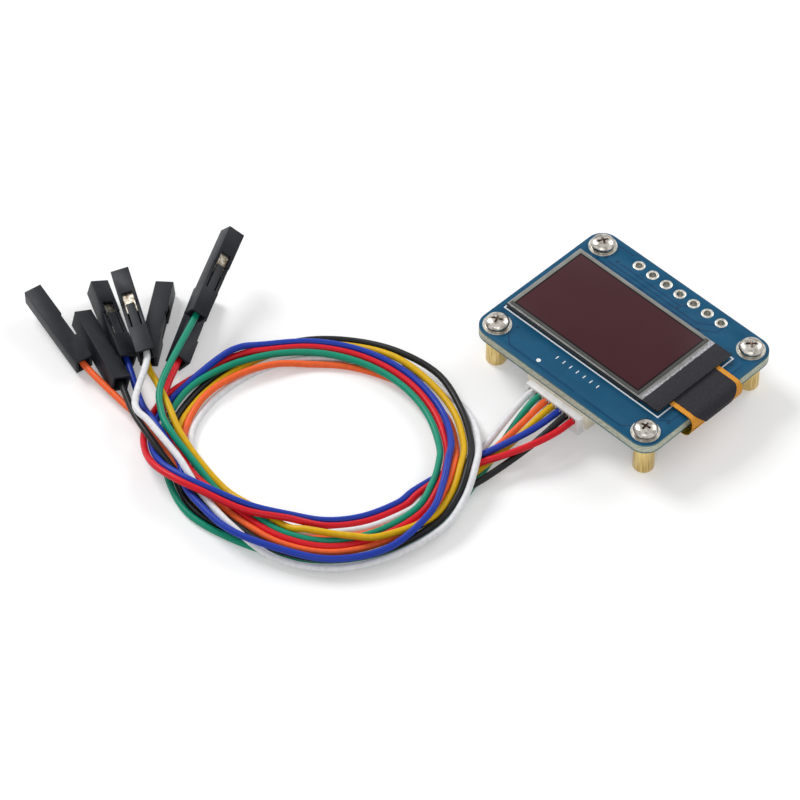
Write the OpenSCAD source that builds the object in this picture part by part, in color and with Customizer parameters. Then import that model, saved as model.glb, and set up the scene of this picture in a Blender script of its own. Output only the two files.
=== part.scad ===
// Small display module: a panel on a blue board with four brass standoffs, a folded ribbon and a
// seven-wire cable. The origin is the centre of the four feet on the floor: +X runs to the ribbon
// end, +Y to the header holes, +Z up. The cable leaves towards -Y.

/* [Board] */
// Length of the board along X
board_len = 32.5; // [32:0.1:40]
// Width of the board along Y
board_w = 26; // [25.5:0.1:32]
// Thickness of the board
board_t = 1.6; // [1.2:0.1:2]
// Radius of the board corners
board_r = 2.5; // [1:0.1:3]
// Distance between mounting holes along X
hole_dx = 27.5; // [27:0.1:35]
// Distance between mounting holes along Y
hole_dy = 21; // [20.5:0.1:27]
// Diameter of the mounting holes
hole_d = 2.4; // [2.1:0.05:2.6]
// Diameter of the tinned rings round the mounting holes
ring_d = 4.05; // [3.8:0.05:4.6]
// Thickness of tinned pads and rings
pad_t = 0.05; // [0.03:0.01:0.1]

/* [Header] */
// Number of header holes
header_n = 7; // [4:1:7]
// Pitch of the header holes
header_pitch = 2.54; // [2.5:0.01:2.6]
// Distance from the board edge to the header row
header_inset = 1.73; // [1.5:0.01:2.2]
// Diameter of the header holes
header_hole_d = 1.0; // [0.8:0.05:1.1]
// Diameter of the header rings
header_pad_d = 1.75; // [1.6:0.05:1.9]
// Wall of the plating in the header holes
plating_t = 0.06; // [0.05:0.01:0.1]

/* [Standoffs and screws] */
// Height of the standoffs
standoff_h = 5.2; // [5:0.1:8]
// Diameter of the standoffs
standoff_d = 2.95; // [2.9:0.05:4]
// Chamfer on the standoff rims
standoff_chamfer = 0.15; // [0.05:0.05:0.3]
// Nominal diameter of the screw thread
screw_d = 2; // [1.6:0.1:2]
// Diameter of the screw heads
head_d = 3.45; // [3.2:0.05:3.8]
// Height of the screw heads
head_h = 1.2; // [0.8:0.05:1.6]
// Core diameter of the screws, as drawn where their thread sits in a standoff
core_d = 1.6; // [1.2:0.05:1.6]
// Length of the screws under the head
screw_len = 3; // [2:0.5:3.5]
// Width of the cross slot in the screw heads
cross_w = 0.42; // [0.3:0.02:0.6]
// Length of the cross slot in the screw heads
cross_len = 1.9; // [1.4:0.1:2.2]

/* [Panel] */
// Length of the panel along X
panel_len = 28.05; // [27.5:0.05:28.2]
// Width of the panel along Y
panel_w = 14.6; // [14:0.1:14.7]
// Distance from the board centre to the ribbon end of the panel
panel_end_x = 13; // [12.8:0.1:13]
// Length of the ledge that carries the ribbon
ledge_len = 3.5; // [3.2:0.1:4]
// Thickness of each glass
glass_t = 0.4; // [0.3:0.05:0.5]
// Thickness of the foam tape under the panel
foam_t = 0.1; // [0.05:0.05:0.3]
// Thickness of the polarizer
polarizer_t = 0.15; // [0.1:0.01:0.2]
// Border of clear glass round the polarizer
polarizer_inset = 0.3; // [0.2:0.05:0.5]
// Length of the emitting area
emit_len = 23.1; // [22:0.1:23.2]
// Width of the emitting area
emit_w = 13.2; // [12:0.1:13.2]
// Thickness of the emitting layer
emit_t = 0.03; // [0.02:0.01:0.05]
// Width of the printed frame line
line_w = 0.2; // [0.15:0.05:0.3]
// Gap between the panel and the printed frame line
line_gap = 0.1; // [0.05:0.05:0.2]
// Thickness of the printed line
line_t = 0.03; // [0.02:0.01:0.05]

/* [Ribbon] */
// Thickness of the ribbon
ribbon_t = 0.12; // [0.1:0.01:0.15]
// Width of the ribbon above the board
ribbon_w = 9.8; // [8:0.1:10]
// Width of the ribbon below the board
ribbon_low_w = 10.1; // [8:0.1:10.4]
// Sideways shift of the ribbon below the board
ribbon_skew = 0.65; // [0:0.05:1]
// Distance from the board edge to the start of the bend, inwards
bend_inset = 0.15; // [0:0.05:0.3]
// Drop of the ribbon below the board
ribbon_drop = 0.6; // [0.5:0.05:0.8]
// Overlap of the ribbon under the ledge
ribbon_bond = 1.4; // [1:0.1:1.6]
// Thickness of the black tapes
tape_t = 0.06; // [0.04:0.01:0.1]
// Width of the black tape on the ribbon
ribbon_tape_w = 8.3; // [6:0.1:9]

/* [Cable] */
// Number of wires
wire_n = 7; // [7:1:7]
// Diameter of a wire
wire_d = 0.95; // [0.8:0.01:0.96]
// Pitch of the plug
plug_pitch = 1.25; // [1.2:0.01:1.3]
// Width of the plug
plug_w = 9.8; // [9.6:0.1:10.4]
// Height of the plug flange
plug_h = 2.9; // [2.5:0.1:3]
// Width of the socket
socket_w = 11.2; // [11:0.1:12]
// Height of the socket
socket_h = 2.65; // [2.6:0.05:2.9]
// Depth of the socket
socket_depth = 4.6; // [4.2:0.1:5.5]

/* [Wire ends] */
// Length of a wire-end housing
housing_len = 14; // [13:0.1:14]
// Width and height of a wire-end housing
housing_w = 2.54; // [2.4:0.01:2.54]
// Width of the contact cavity in a housing
cavity_w = 1.8; // [1.7:0.05:1.9]
// Side of the pin hole in the mating face
pin_hole_w = 0.9; // [0.7:0.05:1]
// Length of the latch window
window_len = 1.8; // [1.5:0.1:2]
// Width of the latch window
window_w = 1.5; // [1.2:0.1:1.6]
// Distance from the mating face to the latch window
window_at = 4; // [3.5:0.1:4.5]
// Length of the latch tongue behind the window
tongue_len = 4; // [3:0.1:4.5]
// Depth of the shallow step over the tongue
step_depth = 0.2; // [0.1:0.05:0.25]
// Wall of the crimped contacts
contact_t = 0.15; // [0.1:0.01:0.2]
// Distance from the open end of a housing to the end of its wire
wire_in = 4.2; // [3.5:0.1:5]

/* [Hidden] */
$fn = 32;
tiny = 0.01;
// clearances
thread_gap = 0.02;
fit_gap = 0.05;
crimp_gap = 0.03;
// levels
board_z = standoff_h;
top_z = board_z + board_t;
cap_z = top_z + foam_t;
glass_z = cap_z + glass_t;
face_z = glass_z + glass_t;
// panel places
panel_x0 = panel_end_x - panel_len;
ledge_x = panel_end_x - ledge_len;
header_y = board_w / 2 - header_inset;
// ribbon places
bend_x = board_len / 2 - bend_inset;
ribbon_top = glass_z;
ribbon_low = board_z - ribbon_drop;
bend_r = (ribbon_top - ribbon_low + ribbon_t) / 2;
bend_z = ribbon_top - bend_r;
// plug and socket places
plug_front = -board_w / 2 - 1;
plug_back = -board_w / 2 + 3.5;
flange_back = -board_w / 2;
wire_z = board_z - 1.5;
wire_y = -board_w / 2 + 0.4;
plug_top = board_z - 0.6;
socket_y = -board_w / 2 + 0.02;
socket_wall = 0.6;
bore_x = (plug_w - 1) / 2;
// Depth of the upper screws in the standoffs, and the room left below their ends
grip = screw_len - board_t - pad_t;
grip_gap = 0.3;
// Places along the board of the supply parts under its -X end
supply_x = -board_len / 2 + 5.25;
coil_x = supply_x + 5.5;
inner_z0 = board_z - 2.2;
inner_z1 = board_z - 0.7;

blue_mask = [0.12, 0.34, 0.50];
tin = [0.80, 0.80, 0.78];
brass = [0.80, 0.66, 0.36];
nickel = [0.72, 0.72, 0.70];
glass_grey = [0.45, 0.45, 0.46];
maroon = [0.20, 0.10, 0.10];
amber = [0.78, 0.50, 0.12];
black = [0.07, 0.07, 0.08];
cream = [0.93, 0.89, 0.76];
plug_white = [0.95, 0.95, 0.92];
copper = [0.80, 0.62, 0.30];

// A box with its middle in X and Y at the origin and its foot at z = 0
module block(size) {
    translate([-size[0] / 2, -size[1] / 2, 0]) cube(size);
}

// A box from one corner to the other
module span(a, b) {
    translate(a) cube(b - a);
}

// A round tube on the floor
module tube(d_out, d_in, h) {
    difference() {
        cylinder(d = d_out, h = h);
        translate([0, 0, -tiny]) cylinder(d = d_in, h = h + 2 * tiny);
    }
}

// The four mounting places
module at_holes() {
    for (sx = [-1, 1], sy = [-1, 1]) translate([sx * hole_dx / 2, sy * hole_dy / 2, 0]) children();
}

// The header places
module at_header() {
    for (i = [0 : header_n - 1])
        translate([(i - (header_n - 1) / 2) * header_pitch, header_y, 0]) children();
}

// A rectangle with round corners
module rounded(size, r) {
    hull() for (sx = [-1, 1], sy = [-1, 1])
        translate([sx * (size[0] / 2 - r), sy * (size[1] / 2 - r)]) circle(r);
}

module board() {
    color(blue_mask) translate([0, 0, board_z]) difference() {
        linear_extrude(board_t) rounded([board_len, board_w], board_r);
        translate([0, 0, -tiny]) {
            at_holes() cylinder(d = hole_d, h = board_t + 2 * tiny);
            at_header() cylinder(d = header_hole_d + 2 * plating_t, h = board_t + 2 * tiny);
        }
    }
}

module mounting_pads() {
    color(tin) at_holes() translate([0, 0, top_z]) tube(ring_d, hole_d, pad_t);
}

// A plated hole: a thin barrel with a ring on each face of the board
module header_pads() {
    color(tin) at_header() translate([0, 0, board_z]) difference() {
        union() {
            translate([0, 0, -pad_t]) cylinder(d = header_pad_d, h = pad_t);
            cylinder(d = header_hole_d + 2 * plating_t, h = board_t);
            translate([0, 0, board_t]) cylinder(d = header_pad_d, h = pad_t);
        }
        translate([0, 0, -1]) cylinder(d = header_hole_d, h = board_t + 2);
    }
}

module frame_line() {
    inner = [panel_len + 2 * line_gap, panel_w + 2 * line_gap];
    color("white") translate([panel_x0 + panel_len / 2, 0, top_z]) linear_extrude(line_t)
        difference() {
            square(inner + 2 * [line_w, line_w], center = true);
            square(inner, center = true);
        }
}

module standoffs() {
    color(brass) at_holes() difference() {
        rotate_extrude() polygon([[0, 0], [standoff_d / 2 - standoff_chamfer, 0],
            [standoff_d / 2, standoff_chamfer], [standoff_d / 2, standoff_h - standoff_chamfer],
            [standoff_d / 2 - standoff_chamfer, standoff_h], [0, standoff_h]]);
        translate([0, 0, -1]) cylinder(r = screw_d / 2 + thread_gap, h = standoff_h - grip - grip_gap + 1);
        cylinder(r = core_d / 2 + thread_gap, h = standoff_h + 1);
    }
}

// A pan head with a domed rim, turned round its axis, with a cross slot and its shank below
module screws() {
    color(nickel) at_holes() translate([0, 0, top_z + pad_t]) {
        difference() {
            rotate_extrude() difference() {
                intersection() {
                    translate([0, -2 * head_d + head_h]) circle(2 * head_d, $fn = 96);
                    offset(0.3) square([head_d / 2 - 0.3, head_h * 2 - 0.6]);
                    square([head_d, head_h]);
                }
            }
            translate([0, 0, head_h - 0.65]) for (a = [0, 90])
                rotate(a + 25) block([cross_len, cross_w, 1]);
            translate([0, 0, head_h - 0.85]) cylinder(d1 = 0.5, d2 = 1.1, h = 1);
        }
        translate([0, 0, -screw_len]) cylinder(d = core_d, h = screw_len);
        translate([0, 0, grip_gap / 4 - screw_len + grip]) cylinder(d = screw_d, h = screw_len - grip);
    }
}

module foam_tape() {
    color([0.25, 0.25, 0.26]) translate([panel_x0 + 0.3, -panel_w / 2 + 0.3, top_z])
        cube([panel_len - ledge_len - 0.6, panel_w - 0.6, foam_t]);
}

// The rear glass, with a shallow hollow over the emitting layer
module panel_cap() {
    color(glass_grey) difference() {
        translate([panel_x0, -panel_w / 2, cap_z])
            cube([panel_len - ledge_len, panel_w, glass_t]);
        translate([panel_x0 + 0.6, -emit_w / 2 - 0.2, glass_z - 0.15])
            cube([emit_len + 0.6, emit_w + 0.4, 1]);
    }
}

module panel_glass() {
    color(glass_grey) translate([panel_x0, -panel_w / 2, glass_z])
        cube([panel_len, panel_w, glass_t]);
}

module emitting_layer() {
    color(maroon) translate([panel_x0 + 0.9, -emit_w / 2, glass_z - emit_t])
        cube([emit_len, emit_w, emit_t]);
}

module polarizer() {
    color(maroon) translate([panel_x0 + polarizer_inset, -panel_w / 2 + polarizer_inset, face_z])
        cube([panel_len - ledge_len - polarizer_inset - 0.35, panel_w - 2 * polarizer_inset,
            polarizer_t]);
}

// The bare driver chip bonded under the ledge
module driver_chip() {
    color([0.3, 0.3, 0.33]) translate([ledge_x + 0.5, -5, glass_z - 0.3]) cube([1.1, 10, 0.3]);
}

// Silver glue line between polarizer and ledge tape, with stepped edges
module adhesive_strip() {
    x = ledge_x;
    y = panel_w / 2;
    color([0.72, 0.72, 0.74]) translate([0, 0, face_z]) linear_extrude(0.05)
        polygon([[x + 0.15, -y + 0.2], [x + 0.6, -y + 0.9], [x + 0.6, y - 0.1], [x - 0.25, y - 0.1],
            [x - 0.25, y - 0.6], [x + 0.1, y - 0.9], [x + 0.1, 3.2], [x, 3], [x, -3.2],
            [x + 0.1, -3.4], [x + 0.1, -y + 0.5]]);
}

// Black tape on the ledge, folded down over the glass edge onto the ribbon
module ledge_tape() {
    color(black) {
        span([ledge_x + 0.6, -panel_w / 2, face_z], [panel_end_x, panel_w / 2, face_z + tape_t]);
        span([panel_end_x, -ribbon_tape_w / 2, glass_z],
            [panel_end_x + tape_t, ribbon_tape_w / 2, face_z + tape_t]);
    }
}

// A U shape in the X-Z plane round the board edge, extruded along Y.
// x0 and x1 are where its upper and lower legs start, out is how far it lies outside the ribbon
module u_bend(x0, x1, out, t) {
    translate([0, 10, bend_z]) rotate([90, 0, 0]) linear_extrude(20) {
        translate([x0, bend_r + out - t]) square([bend_x - x0, t]);
        translate([x1, -bend_r - out]) square([bend_x - x1, t]);
        translate([bend_x, 0]) difference() {
            circle(bend_r + out, $fn = 64);
            circle(bend_r + out - t, $fn = 64);
            translate([-10, -5]) square([10, 10]);
        }
    }
}

// The sideways outline that a U shape is cut to, as points in Y and Z
module side_cut(points) {
    rotate([90, 0, 90]) linear_extrude(40) polygon(points);
}

module ribbon() {
    h = ribbon_w / 2;
    k = ribbon_low_w / 2;
    color(amber) intersection() {
        u_bend(panel_end_x - ribbon_bond, panel_end_x - 2.3, 0, ribbon_t);
        side_cut([[-h, ribbon_top + 1], [-h, ribbon_top - 0.3], [-k - ribbon_skew, ribbon_low + 0.4],
            [-k - ribbon_skew, ribbon_low - 1], [k - ribbon_skew, ribbon_low - 1],
            [k - ribbon_skew, ribbon_low + 0.4], [h, ribbon_top - 0.3], [h, ribbon_top + 1]]);
    }
}

module ribbon_tape() {
    h = ribbon_tape_w / 2;
    color(black) intersection() {
        u_bend(panel_end_x + tape_t, bend_x + 5, tape_t, tape_t);
        side_cut([[-h, ribbon_top + 1], [-h, ribbon_top - 0.05], [-h / 2 - 0.2, bend_z - 0.7],
            [h / 2 + 0.2, bend_z - 0.7], [h, ribbon_top - 0.05], [h, ribbon_top + 1]]);
    }
}

/* ---- parts under the board ---- */

conn_x0 = panel_end_x - 4;
conn_w = 14;
conn_h = 1.2;

module ribbon_connector() {
    color(cream) difference() {
        span([conn_x0, -conn_w / 2, board_z - conn_h], [panel_end_x, conn_w / 2, board_z]);
        span([panel_end_x - 2.5, -ribbon_low_w / 2 - ribbon_skew - 0.1, ribbon_low - 0.05],
            [panel_end_x + 1, ribbon_low_w / 2 - ribbon_skew + 0.1, ribbon_low + ribbon_t + 0.05]);
        span([panel_end_x - 0.9, -conn_w / 2 + 0.7, board_z - conn_h - 1],
            [panel_end_x + 1, conn_w / 2 - 0.7, ribbon_low]);
    }
}

// The dark bar that presses the ribbon into its connector
module connector_latch() {
    color([0.15, 0.12, 0.1]) span([panel_end_x - 0.9 + fit_gap, -conn_w / 2 + 0.7 + fit_gap,
        board_z - conn_h - 0.1], [panel_end_x + 0.4, conn_w / 2 - 0.7 - fit_gap, ribbon_low]);
}

module connector_pins() {
    color(tin) for (i = [0 : 15]) translate([conn_x0 - 0.7, (i - 7.5) * 0.7 - 0.12, board_z - 0.15])
        cube([0.7, 0.24, 0.15]);
}

// A small chip package under the board with legs on two sides
module chip(size, n, pitch, body) {
    color(body) translate([0, 0, -size[2]]) block([size[0], size[1], size[2] - 0.1]);
    color(tin) for (s = [-1, 1], i = [0 : n - 1])
        translate([(i - (n - 1) / 2) * pitch - 0.15, s > 0 ? size[1] / 2 : -size[1] / 2 - 0.55, 0])
            translate([0, 0, -size[2] / 2]) {
                cube([0.3, 0.15 + (s > 0 ? 0 : 0.4), 0.15]);
                translate([0, s > 0 ? 0.15 : 0, 0]) cube([0.3, 0.15, size[2] / 2]);
                translate([0, s > 0 ? 0.15 : 0, size[2] / 2 - 0.15]) cube([0.3, 0.4, 0.15]);
            }
}

module regulator() { translate([supply_x, 3.5, board_z]) chip([2.9, 1.6, 1.1], 3, 0.95, black); }
module boost_converter() { translate([supply_x, -2.5, board_z]) chip([2.9, 1.6, 1.1], 3, 0.95, black); }
module level_shifter() { translate([0, 2.5, board_z]) chip([5, 4.4, 1.1], 7, 0.65, black); }

module inductor() {
    color([0.25, 0.25, 0.27]) translate([coil_x, -3, board_z - 1.5]) {
        block([3, 3, 0.3]);
        translate([0, 0, 0.3]) cylinder(d = 2, h = 0.9);
        translate([0, 0, 1.2]) block([3, 3, 0.3]);
    }
}

module diode() {
    color(black) translate([supply_x, -6.5, board_z - 1]) block([2.6, 1.5, 0.9]);
    color(tin) translate([supply_x, -6.5, board_z - 0.1]) block([3.6, 0.6, 0.1]);
}

// A two-ended part under the board: its middle between two tinned ends
module two_ended(l, w, h) {
    translate([0, 0, -h]) block([l, w, h]);
}

module capacitors() {
    color([0.62, 0.50, 0.36]) for (p = [[coil_x, 0.5], [coil_x, 3], [coil_x - 2, 6.5], [5, -3],
        [5, -5.5], [1.5, -3.5], [supply_x, 0.5]]) translate([p[0], p[1], board_z]) two_ended(1.6, 0.8, 0.8);
}

module resistors() {
    color([0.12, 0.12, 0.13]) for (p = [[-2, 7.5], [1, 7.5], [4, 7.5], [5.2, 1], [5.2, 2.5],
        [5.2, 4], [-2.5, -5.5]]) translate([p[0], p[1], board_z]) two_ended(1.6, 0.8, 0.45);
}

/* ---- cable socket and plug ---- */

// The places of the wires across the plug
function wire_x(i) = (i - (wire_n - 1) / 2) * plug_pitch;

module cable_socket() {
    w = socket_w / 2;
    color(cream) difference() {
        union() {
            span([-w, socket_y, board_z - socket_h], [w, socket_y + socket_depth, board_z]);
            span([-w - 1.4, socket_y + 0.5, board_z - 1], [w + 1.4, socket_y + 3, board_z]);
        }
        span([-bore_x - fit_gap, socket_y - 1, inner_z0 - fit_gap],
            [bore_x + fit_gap, plug_back + fit_gap, inner_z1 + fit_gap]);
        for (i = [0 : wire_n - 1]) translate([wire_x(i) - 0.175, socket_y + 1, wire_z - 0.175])
            cube([0.35, socket_depth, 0.35]);
    }
}

// Bent pins: from inside the plug back through the rear wall and up to the board
module socket_pins() {
    back = socket_y + socket_depth;
    color(tin) for (i = [0 : wire_n - 1]) translate([wire_x(i) - 0.175, 0, 0]) {
        translate([0, plug_back - 1.7, wire_z - 0.175]) cube([0.35, back - plug_back + 2.2, 0.35]);
        translate([0, back + 0.15, wire_z - 0.175]) cube([0.35, 0.35, board_z - wire_z + 0.175]);
        translate([0, back + 0.15, board_z - 0.2]) cube([0.35, 1, 0.2]);
    }
}

module socket_tabs() {
    color(tin) for (s = [0, 1]) mirror([s, 0, 0])
        span([socket_w / 2 + 1.4, socket_y + 0.7, board_z - 0.2],
            [socket_w / 2 + 2.6, socket_y + 2.8, board_z]);
}

// A white plug: a front flange and a narrower inner part, with a channel for each wire
module cable_plug() {
    color(plug_white) difference() {
        union() {
            span([-plug_w / 2, plug_front, plug_top - plug_h], [plug_w / 2, flange_back, plug_top]);
            span([-bore_x, flange_back, inner_z0], [bore_x, plug_back, inner_z1]);
        }
        for (i = [0 : wire_n - 1]) translate([wire_x(i), 0, wire_z]) {
            rotate([-90, 0, 0]) translate([0, 0, plug_front - 1])
                cylinder(d = wire_d + 2 * fit_gap, h = wire_y + 1.2 - plug_front + 1);
            translate([-wire_d / 2 - fit_gap, plug_front - 1, 0])
                cube([wire_d + 2 * fit_gap, 1.8, 0.5]);
            translate([-0.225, wire_y + 1, -0.225]) cube([0.45, 4, 0.45]);
        }
    }
}

// Crimp barrels that meet the wire ends in the plug
module plug_contacts() {
    color(copper) for (i = [0 : wire_n - 1]) translate([wire_x(i), wire_y, wire_z])
        rotate([-90, 0, 0]) cylinder(d = wire_d * 0.8, h = 1.1);
}

/* ---- wire ends ---- */

// Each housing: the middle of its open end, then its roll, pitch and heading in degrees.
// Its local +X points to its mating face and its latch window is on local +Z
end_white  = [[-45.2, -46.6, 4.2], [-9, -7.8, 151.5]];
end_green  = [[-45.5, -37.1, 4.5], [39.5, -13.4, 114]];
end_orange = [[-51.6, -52.3, 1.7], [86, -7, 168]];
end_yellow = [[-46.1, -45.6, 1.7], [85, 1.4, 127]];
end_blue   = [[-48, -47.7, 1.6], [15, -3.3, 154.3]];
end_black  = [[-45.1, -51.5, 2.2], [104.5, 1.4, 160.3]];
end_red    = [[-42.8, -43.1, 1.8], [129, 0, 120.7]];

// A single-way housing along +X with a cavity, a pin hole, a latch window and its tongue
module housing() {
    w = housing_w;
    slit = 0.15;
    color(black) difference() {
        translate([0, -w / 2, -w / 2]) cube([housing_len, w, w]);
        translate([-tiny, -cavity_w / 2, -cavity_w / 2])
            cube([housing_len - 0.8, cavity_w, cavity_w]);
        translate([0, -pin_hole_w / 2, -pin_hole_w / 2])
            cube([housing_len + 1, pin_hole_w, pin_hole_w]);
        // window, and the slits and step of the tongue behind it
        translate([housing_len - window_at - window_len, -window_w / 2, 0])
            cube([window_len, window_w, w]);
        for (s = [-1, 1])
            translate([housing_len - window_at - window_len - tongue_len,
                s * window_w / 2 - (s > 0 ? slit : 0), 0]) cube([tongue_len + 0.5, slit, w]);
        translate([housing_len - window_at - window_len - tongue_len, -w, w / 2 - step_depth])
            cube([tongue_len, 2 * w, 1]);
    }
}

// A crimped contact along +X: grip round the wire, barrel at the wire end, neck and spring box
module contact() {
    grip = wire_d + 2 * crimp_gap;
    box = cavity_w - 0.2;
    color(copper) {
        translate([wire_in - 1.4, 0, 0]) rotate([0, 90, 0]) tube(grip + 2 * contact_t, grip, 1.4);
        translate([wire_in, 0, 0]) rotate([0, 90, 0]) cylinder(d = grip + 2 * contact_t, h = 1.8);
        translate([wire_in + 1.8, -0.4, -0.3]) cube([0.8, 0.8, 0.6]);
        difference() {
            translate([wire_in + 2.6, -box / 2, -box / 2])
                cube([housing_len - 0.8 - fit_gap - wire_in - 2.6, box, box]);
            translate([wire_in + 3.2, -pin_hole_w / 2, -pin_hole_w / 2])
                cube([housing_len, pin_hole_w, pin_hole_w]);
        }
    }
}

/* ---- wires ---- */

// Wire routes. Each has three parts: points in X, Y, Z from the plug down to the floor, then
// points round the middle of the loop as [turn in degrees, distance, height], then points in
// X, Y, Z up to the wire's own housing.
loop_mid = [-19.5, -39];

white_lead = [[-3.7, -17, 3], [-3.4, -20, 2.2], [-3, -24, 1], [-2.7, -28, 0.55], [-2.6, -32, 0.55],
    [-2.5, -36, 0.55]];
white_loop = [[0, 17, 0.55], [20, 16.3, 0.55], [40, 15.8, 0.55], [60, 16.1, 0.55],
    [80, 16.3, 0.55], [100, 17.2, 0.55], [120, 17, 0.55], [140, 17.2, 0.55], [160, 16.5, 0.55],
    [180, 15.8, 0.55], [200, 15.6, 0.55], [220, 15.5, 0.55], [240, 15.8, 0.55], [260, 17.3, 0.55],
    [280, 19, 0.55], [300, 20.9, 0.7], [320, 21.6, 3], [333, 22.1, 3.6], [346, 22.7, 2.5],
    [360, 23.2, 2], [380, 22.8, 1.4], [400, 22.5, 1.2], [420, 21.4, 1.3], [440, 19.6, 2.3],
    [460, 18.7, 2.6], [470, 18.8, 3.25], [480, 19.4, 3.75]];
white_end = [[-36, -54.5, 4], [-40, -53.5, 4]];

green_lead = [[-2.5, -17, 2.7], [-2.2, -20, 1.3], [-1.2, -24, 0.55], [0, -28, 0.55],
    [1.1, -32, 0.55], [1.7, -36, 0.55]];
green_loop = [[0, 21.3, 0.55], [20, 21, 0.55], [40, 20.6, 0.55], [60, 20.1, 0.55],
    [80, 20.3, 0.55], [100, 21.2, 0.55], [120, 21, 0.55], [140, 21.2, 0.55], [160, 20, 1.5],
    [180, 18.3, 1.5], [200, 16.8, 1.5], [220, 15.8, 1.5], [240, 15.1, 1.5], [260, 14.8, 1.5],
    [280, 14.9, 1.5], [300, 15.4, 1.5], [320, 16.3, 1.8], [333, 17, 2.6], [346, 17.7, 2.5],
    [360, 18.3, 1.9], [380, 18.2, 1.55], [400, 18.1, 1.55], [420, 17.15, 1.55], [440, 15.7, 1.5],
    [460, 15.8, 0.6], [480, 17.2, 1.9]];
green_end = [[-33.2, -53.1, 3], [-37, -51.5, 3.2], [-40.5, -48, 3.8]];

orange_lead = [[-1.2, -17, 3.3], [-1.2, -20, 2.6], [-1.3, -24, 1.7], [-1.4, -28, 0.9],
    [-1.5, -32, 0.55], [-1.5, -36, 0.55]];
orange_loop = [[0, 18, 0.55], [20, 17.3, 0.55], [40, 16.8, 0.55], [60, 17.1, 0.55],
    [80, 17.3, 0.55], [100, 18.2, 0.55], [120, 18, 0.55], [140, 18.2, 0.55], [160, 17.4, 1.4],
    [180, 16.1, 1.5], [200, 15, 1.4], [220, 14.4, 0.6], [240, 14.5, 0.55], [260, 15, 0.55],
    [280, 16.4, 0.55], [300, 17.9, 0.55], [320, 18.6, 1.6], [333, 19.1, 3.1], [346, 19.7, 2.5],
    [360, 20.3, 1.85], [380, 20.2, 1.55], [400, 20.1, 1.55], [420, 19, 1.55], [440, 17.7, 1.55],
    [460, 17.75, 1.55], [480, 19.2, 1.55]];
orange_end = [[-38, -53.5, 1.9], [-42, -53.3, 1.5]];

yellow_lead = [[0, -17, 3.4], [-0.1, -20, 2.6], [-0.3, -24, 1.7], [-0.4, -28, 1.4],
    [-0.5, -32, 0.6], [-0.5, -36, 0.55]];
yellow_loop = [[0, 19, 0.55], [20, 18.3, 0.55], [40, 17.8, 0.55], [60, 18.1, 0.55],
    [80, 18.3, 0.55], [100, 19.2, 0.55], [120, 19, 0.55], [140, 19.2, 0.55], [160, 18.2, 0.55],
    [180, 17.6, 0.55], [200, 17.5, 0.55], [220, 18, 0.55], [240, 18.2, 0.7], [260, 18.1, 1.5],
    [280, 18.2, 1.5], [300, 18.9, 1.5], [320, 19.6, 2.5], [333, 20.1, 3.4], [346, 20.7, 2.5],
    [360, 21.1, 2.4], [380, 20, 2.65], [390, 18.7, 2.6], [400, 17.5, 2.5], [410, 16.6, 2.2],
    [420, 16, 1.55], [440, 14.7, 1.4], [460, 14.8, 0.6], [480, 16.2, 1.3]];
yellow_end = [[-33, -51.8, 2.2], [-37.5, -49.8, 2.7], [-41, -48.3, 2.6]];

blue_lead = [[1.2, -17, 3.7], [0.8, -20, 3.6], [-0.7, -24, 2.7], [-2.4, -28, 1.7], [-3.7, -32, 1],
    [-4.5, -36, 0.55]];
blue_loop = [[0, 15, 0.55], [20, 14.3, 0.6], [40, 13.8, 0.7], [60, 14.3, 2], [80, 15.7, 2.8],
    [100, 18.1, 3.6], [110, 20, 3.7], [120, 21.6, 2.9], [130, 22.3, 1.6], [140, 22.6, 0.8],
    [150, 22, 0.6], [160, 21, 1.1], [180, 19.8, 1.95], [190, 19.3, 2.4], [200, 18.8, 1.6],
    [220, 17.8, 1.5], [240, 17.2, 1.5], [260, 16.9, 1.5], [280, 16.95, 1.5], [300, 17.4, 1.6],
    [320, 17.9, 2.9], [333, 18.3, 3.8], [346, 19.4, 3.6], [360, 21, 3.4], [380, 22.2, 2.6],
    [400, 22, 2.5], [420, 20.9, 2.8], [440, 20.6, 2.8], [460, 20, 2.6], [470, 19.8, 2.6],
    [480, 19.2, 2.6]];
blue_end = [[-36.4, -53.2, 2.6], [-41, -51.5, 1.5]];

black_lead = [[2.5, -17, 3.4], [2.3, -20, 2.7], [1.8, -24, 2], [1.3, -28, 1.6], [0.8, -32, 1.5],
    [0.5, -36, 0.8]];
black_loop = [[0, 20, 0.55], [20, 19.3, 0.55], [40, 18.8, 0.55], [60, 19.1, 0.55],
    [80, 19.3, 0.55], [100, 20.2, 0.55], [120, 20, 0.55], [140, 20.2, 0.55], [160, 19.2, 0.55],
    [180, 18.6, 0.55], [200, 18.5, 0.55], [220, 19, 0.55], [240, 19.2, 0.7], [260, 19.3, 1.4],
    [280, 20, 1.5], [300, 20, 1.5], [320, 20.6, 2.7], [333, 21.1, 3.6], [346, 21.7, 2.6],
    [360, 22, 2], [380, 21.6, 1.55], [400, 21.3, 1.55], [420, 20.2, 1.55], [440, 18.7, 1.55],
    [460, 18.9, 1.55], [470, 19.3, 1.45], [480, 20.5, 2.3]];
black_end = [[-35.5, -55.5, 3], [-40, -54, 2.7]];

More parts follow.
